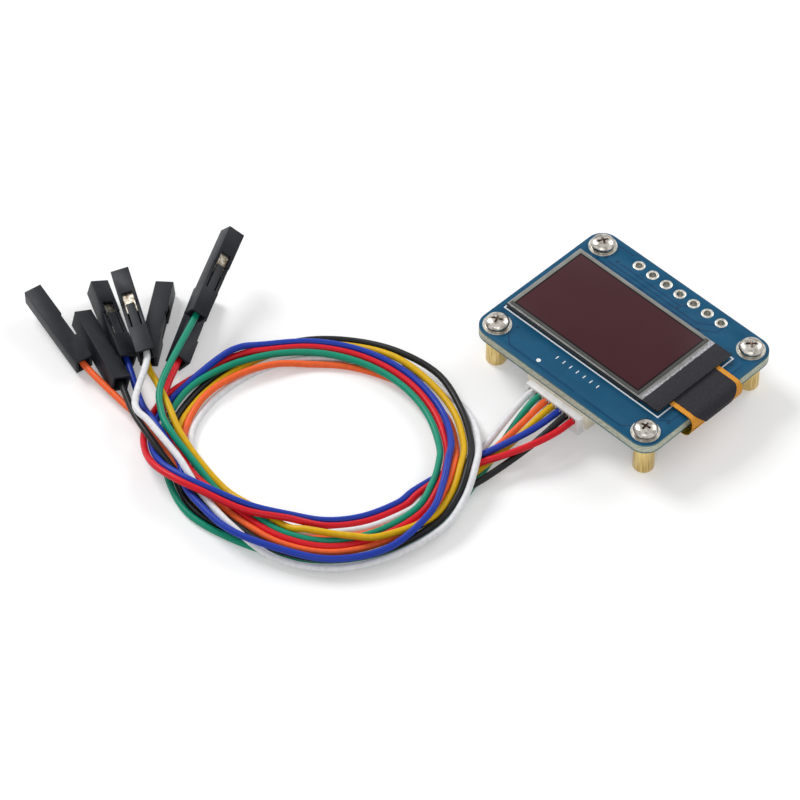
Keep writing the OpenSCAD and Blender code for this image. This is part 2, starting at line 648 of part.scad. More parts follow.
red_lead = [[3.7, -17, 3.8], [3, -20, 3.6], [1.2, -24, 2.9], [-1, -28, 2.25], [-2.8, -32, 1.55],
    [-3.5, -36, 0.9]];
red_loop = [[0, 16, 0.6], [20, 15.3, 0.6], [40, 14.8, 0.75], [60, 15.3, 2.4], [80, 16.85, 2.9],
    [100, 19.15, 3.7], [110, 21.05, 3.7], [120, 22.65, 2.9], [130, 23.35, 1.5], [140, 23.6, 0.8],
    [150, 23, 0.6], [160, 22.1, 0.6], [180, 19.8, 0.9], [190, 18.8, 1.5], [200, 17.8, 1.5],
    [220, 16.8, 1.5], [240, 16.15, 1.5], [260, 15.85, 1.5], [280, 15.95, 1.5], [300, 16.4, 1.5],
    [320, 17.3, 1.9], [333, 18, 2.5], [346, 18.7, 2.5], [360, 19.3, 1.9], [380, 19.2, 1.55],
    [400, 19.1, 1.55], [420, 18, 1.55], [440, 16.7, 1.55], [460, 16.75, 1.55], [480, 18.2, 1.5]];
red_end = [[-37.5, -50.8, 1.8], [-40.5, -47.3, 1.65]];

// Points round the loop, from turn, distance and height
function round_loop(p) = [for (a = p) [loop_mid[0] + a[1] * cos(a[0]),
    loop_mid[1] - a[1] * sin(a[0]), a[2]]];

// Direction of a housing's local +X, from its angles
function heading(e) = [cos(e[1][2]) * cos(e[1][1]), sin(e[1][2]) * cos(e[1][1]), -sin(e[1][1])];

// The whole route of wire i: plug, lead, loop, end and housing e
function route(i, lead, loop, finish, e) = concat(
    [[wire_x(i), wire_y, wire_z], [wire_x(i), plug_front - 0.6, wire_z]],
    lead, round_loop(loop), finish,
    [e[0] - 0.5 * heading(e), e[0] + wire_in * heading(e)]);

// A point on the smooth curve through four points, between the second and the third
function blend(p, t) = 0.5 * ((2 * p[1]) + (p[2] - p[0]) * t
    + (2 * p[0] - 5 * p[1] + 4 * p[2] - p[3]) * t * t
    + (3 * p[1] - p[0] - 3 * p[2] + p[3]) * t * t * t);

// The curve through all points, with a number of steps between each two
function curve(p, steps = 2) = let (n = len(p)) concat(
    [for (i = [0 : n - 2], s = [0 : steps - 1])
        blend([p[max(i - 1, 0)], p[i], p[i + 1], p[min(i + 2, n - 1)]], s / steps)],
    [p[n - 1]]);

function unit(v) = v / norm(v);

// Sideways directions along a path, each kept square to the path and close to the one before
function sides(t, i = 0, last = [0, 0, 1]) = i == len(t) ? [] :
    let (s = unit(last - (last * t[i]) * t[i])) concat([s], sides(t, i + 1, s));

// A round cord along a path
module sweep(path, d, n = 8) {
    m = len(path);
    t = [for (i = [0 : m - 1]) unit(path[min(i + 1, m - 1)] - path[max(i - 1, 0)])];
    u = sides(t);
    rings = [for (i = [0 : m - 1], k = [0 : n - 1]) path[i] + d / 2 * (cos(360 * k / n) * u[i]
        + sin(360 * k / n) * cross(t[i], u[i]))];
    polyhedron(rings, concat(
        [[for (k = [0 : n - 1]) k]],
        [for (i = [0 : m - 2], k = [0 : n - 1])
            [i * n + (k + 1) % n, i * n + k, (i + 1) * n + k, (i + 1) * n + (k + 1) % n]],
        [[for (k = [n - 1 : -1 : 0]) (m - 1) * n + k]]));
}

// One wire of the cable
module wire(i, lead, loop, finish, e, tone) {
    color(tone) sweep(curve(route(i, lead, loop, finish, e)), wire_d);
}

// Places children, which lie along local +X, in a housing's place
module at_end(e) {
    translate(e[0]) rotate(e[1]) children();
}

module wire_white() { wire(0, white_lead, white_loop, white_end, end_white, [0.94, 0.94, 0.94]); }
module wire_green() { wire(1, green_lead, green_loop, green_end, end_green, [0, 0.55, 0.45]); }
module wire_orange() { wire(2, orange_lead, orange_loop, orange_end, end_orange, [1, 0.42, 0.25]); }
module wire_yellow() { wire(3, yellow_lead, yellow_loop, yellow_end, end_yellow, [0.9, 0.75, 0.1]); }
module wire_blue() { wire(4, blue_lead, blue_loop, blue_end, end_blue, [0.1, 0.28, 0.7]); }
module wire_black() { wire(5, black_lead, black_loop, black_end, end_black, [0.12, 0.12, 0.13]); }
module wire_red() { wire(6, red_lead, red_loop, red_end, end_red, [0.85, 0.1, 0.15]); }

board();
mounting_pads();
header_pads();
frame_line();
standoffs();
screws();
foam_tape();
panel_cap();
panel_glass();
emitting_layer();
polarizer();
driver_chip();
adhesive_strip();
ledge_tape();
ribbon();
ribbon_tape();
ribbon_connector();
connector_latch();
connector_pins();
regulator();
boost_converter();
inductor();
diode();
level_shifter();
capacitors();
resistors();
cable_socket();
socket_pins();
socket_tabs();
cable_plug();
plug_contacts();
wire_white();
wire_green();
wire_orange();
wire_yellow();
wire_blue();
wire_black();
wire_red();
at_end(end_white) housing();  // housing_white
at_end(end_green) housing();  // housing_green
at_end(end_orange) housing();  // housing_orange
at_end(end_yellow) housing();  // housing_yellow
at_end(end_blue) housing();  // housing_blue
at_end(end_black) housing();  // housing_black
at_end(end_red) housing();  // housing_red
at_end(end_white) contact();  // contact_white
at_end(end_green) contact();  // contact_green
at_end(end_orange) contact();  // contact_orange
at_end(end_yellow) contact();  // contact_yellow
at_end(end_blue) contact();  // contact_blue
at_end(end_black) contact();  // contact_black
at_end(end_red) contact();  // contact_red
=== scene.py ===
"""Small display module with its seven-wire cable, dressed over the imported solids. Metres."""
import math

import bmesh
import bpy
from mathutils import Matrix, Vector


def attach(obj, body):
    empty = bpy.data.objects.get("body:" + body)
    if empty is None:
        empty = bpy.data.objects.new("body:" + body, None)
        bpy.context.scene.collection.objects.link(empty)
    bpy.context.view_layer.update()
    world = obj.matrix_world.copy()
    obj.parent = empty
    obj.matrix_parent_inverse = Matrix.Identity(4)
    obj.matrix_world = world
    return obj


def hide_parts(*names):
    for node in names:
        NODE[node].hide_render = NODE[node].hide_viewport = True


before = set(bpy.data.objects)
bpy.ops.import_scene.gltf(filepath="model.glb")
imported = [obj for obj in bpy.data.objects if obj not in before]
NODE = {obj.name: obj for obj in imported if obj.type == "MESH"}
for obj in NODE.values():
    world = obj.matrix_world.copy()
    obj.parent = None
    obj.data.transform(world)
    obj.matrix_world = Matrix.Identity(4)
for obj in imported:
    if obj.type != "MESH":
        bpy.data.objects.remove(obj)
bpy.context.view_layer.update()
MM = 0.001

# ---------------------------------------------------------------- camera

AZIMUTH, ELEVATION, ROLL = map(math.radians, (44.827, 48.112, 0.19))
LOOKS_AT = Vector((-17.616, -25.334, 0)) * MM
DISTANCE = 599.81 * MM

back = Vector((math.sin(AZIMUTH) * math.cos(ELEVATION), -math.cos(AZIMUTH) * math.cos(ELEVATION),
               math.sin(ELEVATION)))
right = Vector((math.cos(AZIMUTH), math.sin(AZIMUTH), 0))
up = back.cross(right)
lean_right = right * math.cos(ROLL) + up * math.sin(ROLL)
lean_up = up * math.cos(ROLL) - right * math.sin(ROLL)
lens = bpy.data.cameras.new("studio_camera")
lens.sensor_width, lens.lens = 36, 198.34
lens.clip_start, lens.clip_end = 0.01, 20
camera = bpy.data.objects.new("studio_camera", lens)
turn = Matrix((lean_right, lean_up, back)).transposed().to_4x4()
camera.matrix_world = Matrix.Translation(LOOKS_AT + back * DISTANCE) @ turn
bpy.context.scene.collection.objects.link(camera)
bpy.context.scene.camera = camera
bpy.context.scene.view_settings.view_transform = "Standard"

# ---------------------------------------------------------------- materials kit


class Flow:
    """A number or colour flowing through a material; arithmetic on it adds Math nodes."""

    def __init__(self, finish, socket):
        self.finish, self.socket = finish, socket

    def math(self, operation, *others):
        return self.finish.add("Math", {"operation": operation}, (self, *others))

    def __add__(self, other): return self.math("ADD", other)
    def __mul__(self, other): return self.math("MULTIPLY", other)
    def __sub__(self, other): return self.math("SUBTRACT", other)
    def __gt__(self, other): return self.math("GREATER_THAN", other)
    def __abs__(self): return self.math("ABSOLUTE")
    __radd__ = __add__

    def least(self, other): return self.math("MINIMUM", other)
    def most(self, other): return self.math("MAXIMUM", other)
    def sine(self): return self.math("SINE")
    def cut(self, edge, blur):
        """1 below edge and 0 above it, blurred over blur on either side."""
        return self.finish.add("MapRange", {"interpolation_type": "SMOOTHSTEP"},
                               (self, edge - blur, edge + blur, 1, 0))


class Finish:
    """A procedural material: x, y and z are places on the object in millimetres."""

    def __init__(self, name, colour, rough=0.5, metal=0, **fixed):
        self.material = bpy.data.materials.new(name)
        self.material.use_nodes = True
        self.tree = self.material.node_tree
        self.shader = self.tree.nodes["Principled BSDF"]
        self.set(Base_Color=colour, Roughness=rough, Metallic=metal, **fixed)
        place = self.add("TexCoord", out="Object")
        self.place = self.add("VectorMath", {"operation": "SCALE"},
                              {"Vector": place, "Scale": 1 / MM})
        split = self.add("SeparateXYZ", {}, (self.place,)).socket.node
        self.x, self.y, self.z = (Flow(self, s) for s in split.outputs)

    def add(self, kind, settings=(), values=(), out=0):
        """A node of that type: its settings first, then the values or links of its sockets."""
        node = self.tree.nodes.new("ShaderNode" + kind)
        for name, value in dict(settings).items():
            setattr(node, name, value)
        pairs = values.items() if isinstance(values, dict) else enumerate(values)
        for key, value in pairs:
            self.feed(node.inputs[key], value)
        return Flow(self, node.outputs[out])

    def feed(self, socket, value):
        if isinstance(value, Flow):
            self.tree.links.new(value.socket, socket)
        elif isinstance(value, (tuple, list)) and len(value) == 3 and socket.type == "RGBA":
            socket.default_value = (*value, 1)
        else:
            socket.default_value = value

    def set(self, **values):
        for name, value in values.items():
            self.feed(self.shader.inputs[name.replace("_", " ")], value)
        return self

    def mix(self, factor, a, b):
        node = self.tree.nodes.new("ShaderNodeMix")
        node.data_type = "RGBA"
        for index, value in ((0, factor), (6, a), (7, b)):
            self.feed(node.inputs[index], value)
        return Flow(self, node.outputs[2])

    def noise(self, per_mm, detail=3, rough=0.5, stretch=None):
        place = self.place
        if stretch:
            place = self.add("Mapping", {}, {"Vector": place, "Scale": stretch})
        return self.add("TexNoise", {}, {"Vector": place, "Scale": per_mm, "Detail": detail,
                                         "Roughness": rough})

    def facing(self):
        """The parts of the surface's direction along X, Y and Z."""
        way = self.add("NewGeometry", out="Normal")
        split = self.add("SeparateXYZ", {}, (way,)).socket.node
        return [Flow(self, s) for s in split.outputs]

    def bump(self, height, depth_mm, strength=1):
        self.set(Normal=self.add("Bump", {}, {"Strength": strength, "Distance": depth_mm * MM,
                                              "Height": height}))
        return self

    def line(self, ends, half_width, blur=0.03):
        """A mask along straight marks through these X-Y points on the board."""
        mask = None
        for (ax, ay), (bx, by) in zip(ends, ends[1:]):
            dx, dy = bx - ax, by - ay
            reach = math.hypot(dx, dy)
            ux, uy = dx / reach, dy / reach
            along = (self.x - ax) * ux + (self.y - ay) * uy
            off = abs((self.x - ax) * -uy + (self.y - ay) * ux)
            beyond = abs(along - reach / 2) - reach / 2
            part = off.most(beyond).cut(half_width, blur)
            mask = part if mask is None else mask.most(part)
        return mask

    def disc(self, cx, cy, radius, blur=0.03):
        """A mask over a round mark on the board."""
        dx, dy = self.x - cx, self.y - cy
        return (dx * dx + dy * dy).math("SQRT").cut(radius, blur)

    def on(self, *pieces):
        for piece in pieces:
            piece.data.materials.clear()
            piece.data.materials.append(self.material)
        return self


def rgb(code):
    """A display colour such as 1f5a80 as the linear one that materials take."""
    parts = [int(code[i:i + 2], 16) / 255 for i in (0, 2, 4)]
    return tuple(c / 12.92 if c < 0.04045 else ((c + 0.055) / 1.055) ** 2.4 for c in parts)


# ---------------------------------------------------------------- modelling kit


def alone(piece):
    """Only this piece is selected and active."""
    bpy.ops.object.select_all(action="DESELECT")
    piece.select_set(True)
    bpy.context.view_layer.objects.active = piece
    return piece


def settle(piece):
    """The piece's place goes into its mesh, and its object to the origin."""
    alone(piece)
    bpy.ops.object.transform_apply(location=True, rotation=True, scale=True)
    return piece


def mount(piece, name, *nodes):
    """The piece rides on the module and stands for these solids."""
    piece.name = name
    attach(piece, "root")
    if nodes:
        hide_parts(*nodes)
    return piece


def eased(node, width, name=None):
    """A copy of a solid with its sharp edges rounded by width in millimetres."""
    piece = NODE[node].copy()
    piece.data = NODE[node].data.copy()
    piece.parent = None
    for key in list(piece.keys()):
        del piece[key]
    bpy.context.scene.collection.objects.link(piece)
    alone(piece)
    bpy.ops.object.mode_set(mode="EDIT")
    bpy.ops.mesh.select_all(action="SELECT")
    bpy.ops.mesh.remove_doubles(threshold=2e-6)
    bpy.ops.mesh.dissolve_limited(angle_limit=math.radians(1))
    bpy.ops.object.mode_set(mode="OBJECT")
    if width:
        bevel = piece.modifiers.new("rounded_edges", "BEVEL")
        bevel.width, bevel.segments = width * MM, 2
        bevel.limit_method, bevel.angle_limit = "ANGLE", math.radians(35)
        bevel.use_clamp_overlap = True
        bpy.ops.object.modifier_apply(modifier=bevel.name)
    bpy.ops.object.shade_smooth_by_angle(angle=math.radians(38))
    return mount(piece, name or node + "_eased", node)


def block(low, high, bevel=0.0):
    """A box between two corners, its edges rounded by bevel; all in millimetres."""
    bpy.ops.object.select_all(action="DESELECT")
    middle = [(a + b) / 2 * MM for a, b in zip(low, high)]
    bpy.ops.mesh.primitive_cube_add(size=1, location=middle)
    piece = bpy.context.object
    piece.scale = [(b - a) * MM for a, b in zip(low, high)]
    settle(piece)
    if bevel:
        bpy.ops.object.mode_set(mode="EDIT")
        bpy.ops.mesh.select_all(action="SELECT")
        bpy.ops.mesh.bevel(offset=bevel * MM, segments=2, affect="EDGES")
        bpy.ops.object.mode_set(mode="OBJECT")
    bpy.ops.object.shade_smooth_by_angle(angle=math.radians(40))
    return piece


def join(pieces, name):
    """Several pieces become one."""
    bpy.ops.object.select_all(action="DESELECT")
    for piece in pieces:
        piece.select_set(True)
    bpy.context.view_layer.objects.active = pieces[0]
    bpy.ops.object.join()
    pieces[0].name = name
    return pieces[0]


def lathe(profile, name, around=48):
    """A turned piece round Z from radius and height pairs, in millimetres."""
    mesh = bpy.data.meshes.new(name)
    edit = bmesh.new()
    points = [edit.verts.new((r * MM, 0, z * MM)) for r, z in profile]
    for a, b in zip(points, points[1:]):
        edit.edges.new((a, b))
    edit.to_mesh(mesh)
    edit.free()
    piece = bpy.data.objects.new(name, mesh)
    bpy.context.scene.collection.objects.link(piece)
    alone(piece)
    bpy.ops.object.mode_set(mode="EDIT")
    bpy.ops.mesh.select_all(action="SELECT")
    bpy.ops.mesh.spin(steps=around, angle=math.tau, center=(0, 0, 0), axis=(0, 0, 1))
    bpy.ops.mesh.select_all(action="SELECT")
    bpy.ops.mesh.remove_doubles(threshold=2e-7)
    bpy.ops.mesh.normals_make_consistent(inside=False)
    bpy.ops.object.mode_set(mode="OBJECT")
    bpy.ops.object.shade_smooth_by_angle(angle=math.radians(30))
    return piece


def placed(piece, at, name):
    """A copy of a piece with its own mesh, moved by at, in millimetres."""
    other = piece.copy()
    other.data = piece.data.copy()
    bpy.context.scene.collection.objects.link(other)
    other.location = Vector(at) * MM
    settle(other)
    other.name = name
    return other


# ---------------------------------------------------------------- wires

# Every wire's route, in millimetres: points from the plug to the floor, then points round the
# middle of the loop as [turn in degrees, distance, height], then points up to its own housing.
WIRE_D, WIRE_PITCH = 0.95, 1.25
LOOP_MID = (-19.5, -39)
ROUTES = {
    "white": (
        [[-3.7, -17, 3], [-3.4, -20, 2.2], [-3, -24, 1], [-2.7, -28, 0.55], [-2.6, -32, 0.55],
         [-2.5, -36, 0.55]],
        [[0, 17, 0.55], [20, 16.3, 0.55], [40, 15.8, 0.55], [60, 16.1, 0.55], [80, 16.3, 0.55],
         [100, 17.2, 0.55], [120, 17, 0.55], [140, 17.2, 0.55], [160, 16.5, 0.55],
         [180, 15.8, 0.55], [200, 15.6, 0.55], [220, 15.5, 0.55], [240, 15.8, 0.55],
         [260, 17.3, 0.55], [280, 19, 0.55], [300, 20.9, 0.7], [320, 21.6, 3], [333, 22.1, 3.6],
         [346, 22.7, 2.5], [360, 23.2, 2], [380, 22.8, 1.4], [400, 22.5, 1.2], [420, 21.4, 1.3],
         [440, 19.6, 2.3], [460, 18.7, 2.6], [470, 18.8, 3.25], [480, 19.4, 3.75]],
        [[-36, -54.5, 4], [-40, -53.5, 4]],
        [[-45.2, -46.6, 4.2], [-9, -7.8, 151.5]]),
    "green": (
        [[-2.5, -17, 2.7], [-2.2, -20, 1.3], [-1.2, -24, 0.55], [0, -28, 0.55], [1.1, -32, 0.55],
         [1.7, -36, 0.55]],
        [[0, 21.3, 0.55], [20, 21, 0.55], [40, 20.6, 0.55], [60, 20.1, 0.55], [80, 20.3, 0.55],
         [100, 21.2, 0.55], [120, 21, 0.55], [140, 21.2, 0.55], [160, 20, 1.5], [180, 18.3, 1.5],
         [200, 16.8, 1.5], [220, 15.8, 1.5], [240, 15.1, 1.5], [260, 14.8, 1.5], [280, 14.9, 1.5],
         [300, 15.4, 1.5], [320, 16.3, 1.8], [333, 17, 2.6], [346, 17.7, 2.5], [360, 18.3, 1.9],
         [380, 18.2, 1.55], [400, 18.1, 1.55], [420, 17.15, 1.55], [440, 15.7, 1.5],
         [460, 15.8, 0.6], [480, 17.2, 1.9]],
        [[-33.2, -53.1, 3], [-37, -51.5, 3.2], [-40.5, -48, 3.8]],
        [[-45.5, -37.1, 4.5], [39.5, -13.4, 114]]),
    "orange": (
        [[-1.2, -17, 3.3], [-1.2, -20, 2.6], [-1.3, -24, 1.7], [-1.4, -28, 0.9], [-1.5, -32, 0.55],
         [-1.5, -36, 0.55]],
        [[0, 18, 0.55], [20, 17.3, 0.55], [40, 16.8, 0.55], [60, 17.1, 0.55], [80, 17.3, 0.55],
         [100, 18.2, 0.55], [120, 18, 0.55], [140, 18.2, 0.55], [160, 17.4, 1.4], [180, 16.1, 1.5],
         [200, 15, 1.4], [220, 14.4, 0.6], [240, 14.5, 0.55], [260, 15, 0.55], [280, 16.4, 0.55],
         [300, 17.9, 0.55], [320, 18.6, 1.6], [333, 19.1, 3.1], [346, 19.7, 2.5],
         [360, 20.3, 1.85], [380, 20.2, 1.55], [400, 20.1, 1.55], [420, 19, 1.55],
         [440, 17.7, 1.55], [460, 17.75, 1.55], [480, 19.2, 1.55]],
        [[-38, -53.5, 1.9], [-42, -53.3, 1.5]],
        [[-51.6, -52.3, 1.7], [86, -7, 168]]),
    "yellow": (
        [[0, -17, 3.4], [-0.1, -20, 2.6], [-0.3, -24, 1.7], [-0.4, -28, 1.4], [-0.5, -32, 0.6],
         [-0.5, -36, 0.55]],
        [[0, 19, 0.55], [20, 18.3, 0.55], [40, 17.8, 0.55], [60, 18.1, 0.55], [80, 18.3, 0.55],
         [100, 19.2, 0.55], [120, 19, 0.55], [140, 19.2, 0.55], [160, 18.2, 0.55],
         [180, 17.6, 0.55], [200, 17.5, 0.55], [220, 18, 0.55], [240, 18.2, 0.7], [260, 18.1, 1.5],
         [280, 18.2, 1.5], [300, 18.9, 1.5], [320, 19.6, 2.5], [333, 20.1, 3.4], [346, 20.7, 2.5],
         [360, 21.1, 2.4], [380, 20, 2.65], [390, 18.7, 2.6], [400, 17.5, 2.5], [410, 16.6, 2.2],
         [420, 16, 1.55], [440, 14.7, 1.4], [460, 14.8, 0.6], [480, 16.2, 1.3]],
        [[-33, -51.8, 2.2], [-37.5, -49.8, 2.7], [-41, -48.3, 2.6]],
        [[-46.1, -45.6, 1.7], [85, 1.4, 127]]),
    "blue": (
        [[1.2, -17, 3.7], [0.8, -20, 3.6], [-0.7, -24, 2.7], [-2.4, -28, 1.7], [-3.7, -32, 1],
         [-4.5, -36, 0.55]],
        [[0, 15, 0.55], [20, 14.3, 0.6], [40, 13.8, 0.7], [60, 14.3, 2], [80, 15.7, 2.8],
         [100, 18.1, 3.6], [110, 20, 3.7], [120, 21.6, 2.9], [130, 22.3, 1.6], [140, 22.6, 0.8],
         [150, 22, 0.6], [160, 21, 1.1], [180, 19.8, 1.95], [190, 19.3, 2.4], [200, 18.8, 1.6],
         [220, 17.8, 1.5], [240, 17.2, 1.5], [260, 16.9, 1.5], [280, 16.95, 1.5], [300, 17.4, 1.6],
         [320, 17.9, 2.9], [333, 18.3, 3.8], [346, 19.4, 3.6], [360, 21, 3.4], [380, 22.2, 2.6],
         [400, 22, 2.5], [420, 20.9, 2.8], [440, 20.6, 2.8], [460, 20, 2.6], [470, 19.8, 2.6],
         [480, 19.2, 2.6]],
        [[-36.4, -53.2, 2.6], [-41, -51.5, 1.5]],
        [[-48, -47.7, 1.6], [15, -3.3, 154.3]]),
    "black": (
        [[2.5, -17, 3.4], [2.3, -20, 2.7], [1.8, -24, 2], [1.3, -28, 1.6], [0.8, -32, 1.5],
         [0.5, -36, 0.8]],
        [[0, 20, 0.55], [20, 19.3, 0.55], [40, 18.8, 0.55], [60, 19.1, 0.55], [80, 19.3, 0.55],
         [100, 20.2, 0.55], [120, 20, 0.55], [140, 20.2, 0.55], [160, 19.2, 0.55],
         [180, 18.6, 0.55], [200, 18.5, 0.55], [220, 19, 0.55], [240, 19.2, 0.7], [260, 19.3, 1.4],
         [280, 20, 1.5], [300, 20, 1.5], [320, 20.6, 2.7], [333, 21.1, 3.6], [346, 21.7, 2.6],
         [360, 22, 2], [380, 21.6, 1.55], [400, 21.3, 1.55], [420, 20.2, 1.55], [440, 18.7, 1.55],
         [460, 18.9, 1.55], [470, 19.3, 1.45], [480, 20.5, 2.3]],
        [[-35.5, -55.5, 3], [-40, -54, 2.7]],
        [[-45.1, -51.5, 2.2], [104.5, 1.4, 160.3]]),
    "red": (
        [[3.7, -17, 3.8], [3, -20, 3.6], [1.2, -24, 2.9], [-1, -28, 2.25], [-2.8, -32, 1.55],
         [-3.5, -36, 0.9]],
        [[0, 16, 0.6], [20, 15.3, 0.6], [40, 14.8, 0.75], [60, 15.3, 2.4], [80, 16.85, 2.9],
         [100, 19.15, 3.7], [110, 21.05, 3.7], [120, 22.65, 2.9], [130, 23.35, 1.5],
         [140, 23.6, 0.8], [150, 23, 0.6], [160, 22.1, 0.6], [180, 19.8, 0.9], [190, 18.8, 1.5],
         [200, 17.8, 1.5], [220, 16.8, 1.5], [240, 16.15, 1.5], [260, 15.85, 1.5],
         [280, 15.95, 1.5], [300, 16.4, 1.5], [320, 17.3, 1.9], [333, 18, 2.5], [346, 18.7, 2.5],
         [360, 19.3, 1.9], [380, 19.2, 1.55], [400, 19.1, 1.55], [420, 18, 1.55],
         [440, 16.7, 1.55], [460, 16.75, 1.55], [480, 18.2, 1.5]],
        [[-37.5, -50.8, 1.8], [-40.5, -47.3, 1.65]],
        [[-42.8, -43.1, 1.8], [129, 0, 120.7]]),
}
# In millimetres: where a wire ends in the plug, the plug's front, how far a wire runs straight
# out of it, and how far a wire goes into its housing and comes straight out of it
ENTRY_Y, ENTRY_Z, PLUG_FRONT, PLUG_STUB, WIRE_IN, SHELL_STUB = -12.6, 3.7, -14, 0.6, 4.2, 0.5


def heading(end):
    """The way a housing points, from its angles."""
    pitch, yaw = math.radians(end[1][1]), math.radians(end[1][2])
    return Vector((math.cos(yaw) * math.cos(pitch), math.sin(yaw) * math.cos(pitch),
                   -math.sin(pitch)))


def route(place, lead, loop, finish, end):
    """The points of one wire, from its crimp in the plug to the one in its housing."""
    x = (place - 3) * WIRE_PITCH
    points = [Vector((x, ENTRY_Y, ENTRY_Z)), Vector((x, PLUG_FRONT - PLUG_STUB, ENTRY_Z))]
    points += [Vector(p) for p in lead]
    points += [Vector((LOOP_MID[0] + r * math.cos(math.radians(t)),
                       LOOP_MID[1] - r * math.sin(math.radians(t)), z)) for t, r, z in loop]
    points += [Vector(p) for p in finish]
    points += [Vector(end[0]) + s * heading(end) for s in (-SHELL_STUB, WIRE_IN)]
    return [p * MM for p in points]


def smooth(points, steps=6):
    """A curve through the points, with a number of steps between each two."""
    out, last = [], len(points) - 1
    for i in range(last):
        a, b, c, d = (points[min(max(i + k, 0), last)] for k in (-1, 0, 1, 2))
        for s in range(steps):
            t = s / steps
            out.append(0.5 * (2 * b + (c - a) * t + (2 * a - 5 * b + 4 * c - d) * t * t
                              + (3 * b - a - 3 * c + d) * t ** 3))
    return out + [points[-1]]


def cord_piece(name, points, radius):
    """A round cord along the points, as a curve with closed ends."""
    line = bpy.data.curves.new(name, "CURVE")
    line.dimensions, line.bevel_depth, line.bevel_resolution = "3D", 1, 4
    line.use_fill_caps, line.resolution_u = True, 1
    spline = line.splines.new("POLY")
    spline.points.add(len(points) - 1)
    for spot, point in zip(spline.points, points):
        spot.co, spot.radius = (*point, 1), radius
    spline.use_smooth = True
    piece = bpy.data.objects.new(name, line)
    bpy.context.scene.collection.objects.link(piece)
    return piece


cords, housings, grips = {}, {}, {}
for place, (colour, (lead, loop, finish, end)) in enumerate(ROUTES.items()):
    points = smooth(route(place, lead, loop, finish, end))
    cords[colour] = mount(cord_piece("lead_" + colour, points, WIRE_D / 2 * MM),
                          "lead_" + colour, "wire_" + colour)
    housings[colour] = eased("housing_" + colour, 0.07, name="shell_" + colour)
    grips[colour] = NODE["contact_" + colour]
    (place - 3) * WIRE_PITCH * MM

# ---------------------------------------------------------------- floor and light

LIT_MIDDLE = Vector((-17, -25, 0))                  # in millimetres


def softbox(name, at, energy, size):
    """A round soft lamp at this place, in millimetres, aimed at the middle of the object."""
    data = bpy.data.lights.new(name, "AREA")
    data.energy, data.shape, data.size = energy, "DISK", size
    light = bpy.data.objects.new(name, data)
    light.location = Vector(at) * MM
    light.rotation_mode = "QUATERNION"
    light.rotation_quaternion = (LIT_MIDDLE - Vector(at)).to_track_quat("-Z", "Y")
    bpy.context.scene.collection.objects.link(light)


softbox("key_softbox", (-520, -40, 480), 2.9, 0.34)
softbox("front_softbox", (330, -420, 420), 1.0, 0.5)
softbox("back_softbox", (60, 480, 360), 1.2, 0.4)

# The world and the floor are lit plainly, and look white in view and in what metal and glass show
PLAIN_LIGHT, WHITE, PAPER_TONE, PAPER_GLOW = 0.34, 1.0, (0.8, 0.8, 0.8), 0.25
FLOOR_AT = (-0.0176, -0.0253, -0.00002)
world = bpy.data.worlds.new("studio_white")
bpy.context.scene.world = world
world.use_nodes = True
tree = world.node_tree
tree.nodes.clear()


def in_view(tree):
    """1 for what is seen directly, in a gloss or through glass, and 0 for light on the object."""
    seen = tree.nodes.new("ShaderNodeLightPath")
    last = seen.outputs["Is Camera Ray"]
    for ray in ("Is Glossy Ray", "Is Transmission Ray"):
        most = tree.nodes.new("ShaderNodeMath")
        most.operation = "MAXIMUM"
        tree.links.new(last, most.inputs[0])
        tree.links.new(seen.outputs[ray], most.inputs[1])
        last = most.outputs[0]
    return last


def show_by_ray(tree, plain, viewed, out):
    """Mixes two shaders by whether the ray is one that shows the surface."""
    choose = tree.nodes.new("ShaderNodeMixShader")
    tree.links.new(in_view(tree), choose.inputs[0])
    tree.links.new(plain.outputs[0], choose.inputs[1])
    tree.links.new(viewed.outputs[0], choose.inputs[2])
    tree.links.new(choose.outputs[0], out.inputs["Surface"])


plain, glow = tree.nodes.new("ShaderNodeBackground"), tree.nodes.new("ShaderNodeBackground")
for background, strength in ((plain, PLAIN_LIGHT), (glow, WHITE)):
    background.inputs["Color"].default_value = (1, 1, 1, 1)
    background.inputs["Strength"].default_value = strength
show_by_ray(tree, plain, glow, tree.nodes.new("ShaderNodeOutputWorld"))

bpy.ops.object.select_all(action="DESELECT")
bpy.ops.mesh.primitive_plane_add(size=3, location=FLOOR_AT)
floor = bpy.context.object
floor.name = "studio_floor"
paper = Finish("pale_paper", PAPER_TONE, 0.95)
bright = paper.tree.nodes.new("ShaderNodeBsdfPrincipled")
for name, value in (("Base Color", (*PAPER_TONE, 1)), ("Roughness", 0.95),
                    ("Emission Color", (1, 1, 1, 1)), ("Emission Strength", PAPER_GLOW)):
    bright.inputs[name].default_value = value
show_by_ray(paper.tree, paper.shader, bright, paper.tree.nodes["Material Output"])
paper.on(floor)

# ---------------------------------------------------------------- wire finishes

TONES = {"white": "eeeef1", "green": "0a9273", "orange": "fb6a33", "yellow": "e4b308",
         "blue": "1a3bab", "black": "101114", "red": "dc1526"}
for colour, piece in cords.items():
    tone = rgb(TONES[colour])
    skin = Finish("insulation_" + colour, tone, 0.34, Specular_IOR_Level=0.22)
    wear = skin.noise(1.6, 3)
    skin.set(Base_Color=skin.mix(wear.cut(0.5, 0.25), tone, tuple(c * 0.86 + 0.004 for c in tone)))
    skin.set(Roughness=0.28 + wear * 0.16).bump(skin.noise(9, 2), 0.012, 0.5)
    skin.on(piece)

crimp = Finish("plated_crimp", rgb("cfc6b4"), 0.25, 1)
crimp.set(Base_Color=crimp.mix(crimp.noise(1.8).cut(0.5, 0.14), rgb("b3ada2"), rgb("6b5f4e")))
crimp.set(Roughness=0.2 + crimp.noise(6) * 0.25).on(*grips.values())

